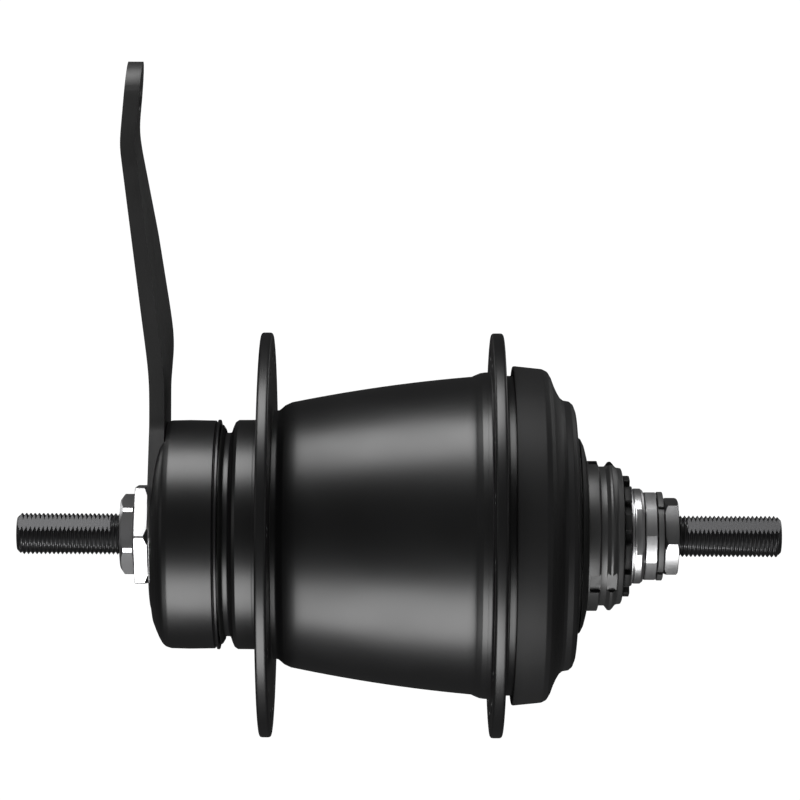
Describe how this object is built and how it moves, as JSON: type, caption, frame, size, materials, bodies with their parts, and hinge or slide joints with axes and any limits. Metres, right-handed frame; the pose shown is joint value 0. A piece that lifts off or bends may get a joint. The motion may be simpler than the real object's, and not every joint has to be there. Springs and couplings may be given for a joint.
{
  "type": "bicycle hub gear",
  "caption": "Internally geared bicycle rear hub with spoked shell, back-pedal brake arm, sprocket driver and shift ring on a threaded axle.",
  "frame": {"origin": "on the axle's axis, midway between the outer faces of the two lock nuts", "axes": "+X along the axle to the drive side, +Z the way the brake arm points, +Y to the back"},
  "size_m": [0.1756, 0.093, 0.1552],
  "materials": {
    "dark_steel": "phosphated, satin",
    "steel": "machined, lightly oiled",
    "bright_plate": "bright plated",
    "gloss_black": "gloss black paint",
    "satin_black": "satin black coating",
    "seal_rubber": "matt"
  },
  "bodies": {
    "fixed_axle": {"axle": "dark_steel", "left_locknut": "dark_steel", "arm_nut": "steel", "brake_arm": "satin_black", "brake_cover": "gloss_black", "brake_seal": "seal_rubber", "brake_cone": "steel", "sun_gear_fixed": "steel", "right_cone": "bright_plate", "actuator_clip": "bright_plate", "adjusting_nut": "steel", "lock_washer": "dark_steel", "right_locknut": "dark_steel", "return_spring": "steel"},
    "shell": {"hub_shell": "gloss_black", "left_flange": "gloss_black", "right_flange": "gloss_black", "left_ball_cup": "steel", "shell_end_cup": "satin_black", "driver_seal": "seal_rubber"},
    "carrier": {"carrier_plate_left": "steel", "carrier_plate_right": "steel", "clutch_cam": "steel", "clutch_rollers": "bright_plate", "planet_pin_1": "bright_plate", "planet_pin_2": "bright_plate", "planet_pin_3": "bright_plate"},
    "planet_1": {"planet_gear_1": "steel"},
    "planet_2": {"planet_gear_2": "steel"},
    "planet_3": {"planet_gear_3": "steel"},
    "driver": {"driver": "dark_steel", "driver_dust_cap": "satin_black", "ring_gear": "steel"},
    "free_sun": {"sun_gear_free": "steel"},
    "left_balls": {"left_ball_retainer": "bright_plate"},
    "middle_balls": {"middle_ball_retainer": "bright_plate"},
    "right_balls": {"right_ball_retainer": "bright_plate"},
    "shifter": {"shift_actuator": "satin_black", "shift_sleeve": "steel"},
    "pawl_1": {"sun_pawl_1": "bright_plate"},
    "pawl_2": {"sun_pawl_2": "bright_plate"},
    "cam": {"brake_cam": "steel"},
    "shoe_1": {"brake_shoe_1": "steel", "brake_roller_1": "bright_plate"},
    "shoe_2": {"brake_shoe_2": "steel", "brake_roller_2": "bright_plate"},
    "shoe_3": {"brake_shoe_3": "steel", "brake_roller_3": "bright_plate"}
  },
  "joints": [
    {"name": "shell_spin", "type": "hinge", "parent": "fixed_axle", "child": "shell", "pos_m": [0, 0, 0], "axis": [-1, 0, 0], "continuous": true},
    {"name": "driver_spin", "type": "hinge", "parent": "fixed_axle", "child": "driver", "pos_m": [0, 0, 0], "axis": [-1, 0, 0], "continuous": true},
    {"name": "carrier_spin", "type": "hinge", "parent": "fixed_axle", "child": "carrier", "pos_m": [0, 0, 0], "axis": [-1, 0, 0], "continuous": true},
    {"name": "planet_1_spin", "type": "hinge", "parent": "carrier", "child": "planet_1", "pos_m": [0, 0, 0.01875], "axis": [-1, 0, 0], "continuous": true},
    {"name": "planet_2_spin", "type": "hinge", "parent": "carrier", "child": "planet_2", "pos_m": [0, 0.01624, -0.00937], "axis": [-1, 0, 0], "continuous": true},
    {"name": "planet_3_spin", "type": "hinge", "parent": "carrier", "child": "planet_3", "pos_m": [0, -0.01624, -0.00937], "axis": [-1, 0, 0], "continuous": true},
    {"name": "free_sun_spin", "type": "hinge", "parent": "fixed_axle", "child": "free_sun", "pos_m": [0, 0, 0], "axis": [-1, 0, 0], "continuous": true},
    {"name": "left_balls_spin", "type": "hinge", "parent": "fixed_axle", "child": "left_balls", "pos_m": [-0.0472, 0, 0], "axis": [-1, 0, 0], "continuous": true},
    {"name": "middle_balls_spin", "type": "hinge", "parent": "fixed_axle", "child": "middle_balls", "pos_m": [0.035, 0, 0], "axis": [-1, 0, 0], "continuous": true},
    {"name": "right_balls_spin", "type": "hinge", "parent": "fixed_axle", "child": "right_balls", "pos_m": [0.047, 0, 0], "axis": [-1, 0, 0], "continuous": true},
    {"name": "shift_turn", "type": "hinge", "parent": "fixed_axle", "child": "shifter", "pos_m": [0.052, 0, 0], "axis": [-1, 0, 0], "range_deg": [0, 150], "stiffness_Nm_per_rad": 0.03, "springref_deg": -17.19},
    {"name": "pawl_1_lift", "type": "hinge", "parent": "fixed_axle", "child": "pawl_1", "pos_m": [0.005, -0.0031, 0.0035], "axis": [1, 0, 0], "range_deg": [0, 12.5]},
    {"name": "pawl_2_lift", "type": "hinge", "parent": "fixed_axle", "child": "pawl_2", "pos_m": [0.005, 0.0031, -0.0035], "axis": [1, 0, 0], "range_deg": [0, 12.5]},
    {"name": "shoe_1_slide", "type": "slide", "parent": "fixed_axle", "child": "shoe_1", "axis": [0, 0, 1], "range_m": [0, 0.0005], "stiffness_N_per_m": 500, "springref_m": -0.0005},
    {"name": "shoe_2_slide", "type": "slide", "parent": "fixed_axle", "child": "shoe_2", "axis": [0, 0.866, -0.5], "range_m": [0, 0.0005]},
    {"name": "shoe_3_slide", "type": "slide", "parent": "fixed_axle", "child": "shoe_3", "axis": [0, -0.866, -0.5], "range_m": [0, 0.0005]},
    {"name": "brake_cam_turn", "type": "hinge", "parent": "fixed_axle", "child": "cam", "pos_m": [-0.0375, 0, 0], "axis": [1, 0, 0], "range_deg": [0, 20]}
  ],
  "couplings": [
    {"joint": "driver_spin", "follows": "shell_spin", "ratio": 1.4286},
    {"joint": "carrier_spin", "follows": "shell_spin", "ratio": 1},
    {"joint": "planet_1_spin", "follows": "shell_spin", "ratio": 1.5},
    {"joint": "planet_2_spin", "follows": "shell_spin", "ratio": 1.5},
    {"joint": "planet_3_spin", "follows": "shell_spin", "ratio": 1.5},
    {"joint": "free_sun_spin", "follows": "shell_spin", "ratio": -0.5},
    {"joint": "left_balls_spin", "follows": "shell_spin", "ratio": 0.55429},
    {"joint": "middle_balls_spin", "follows": "shell_spin", "ratio": 1.1979},
    {"joint": "right_balls_spin", "follows": "shell_spin", "ratio": 0.80603},
    {"joint": "pawl_1_lift", "follows": "shift_turn", "ratio": 0.08},
    {"joint": "pawl_2_lift", "follows": "shift_turn", "ratio": 0.08},
    {"joint": "shoe_2_slide", "follows": "shoe_1_slide", "ratio": 1},
    {"joint": "shoe_3_slide", "follows": "shoe_1_slide", "ratio": 1},
    {"joint": "brake_cam_turn", "follows": "shoe_1_slide", "rad_per_m": 698}
  ]
}
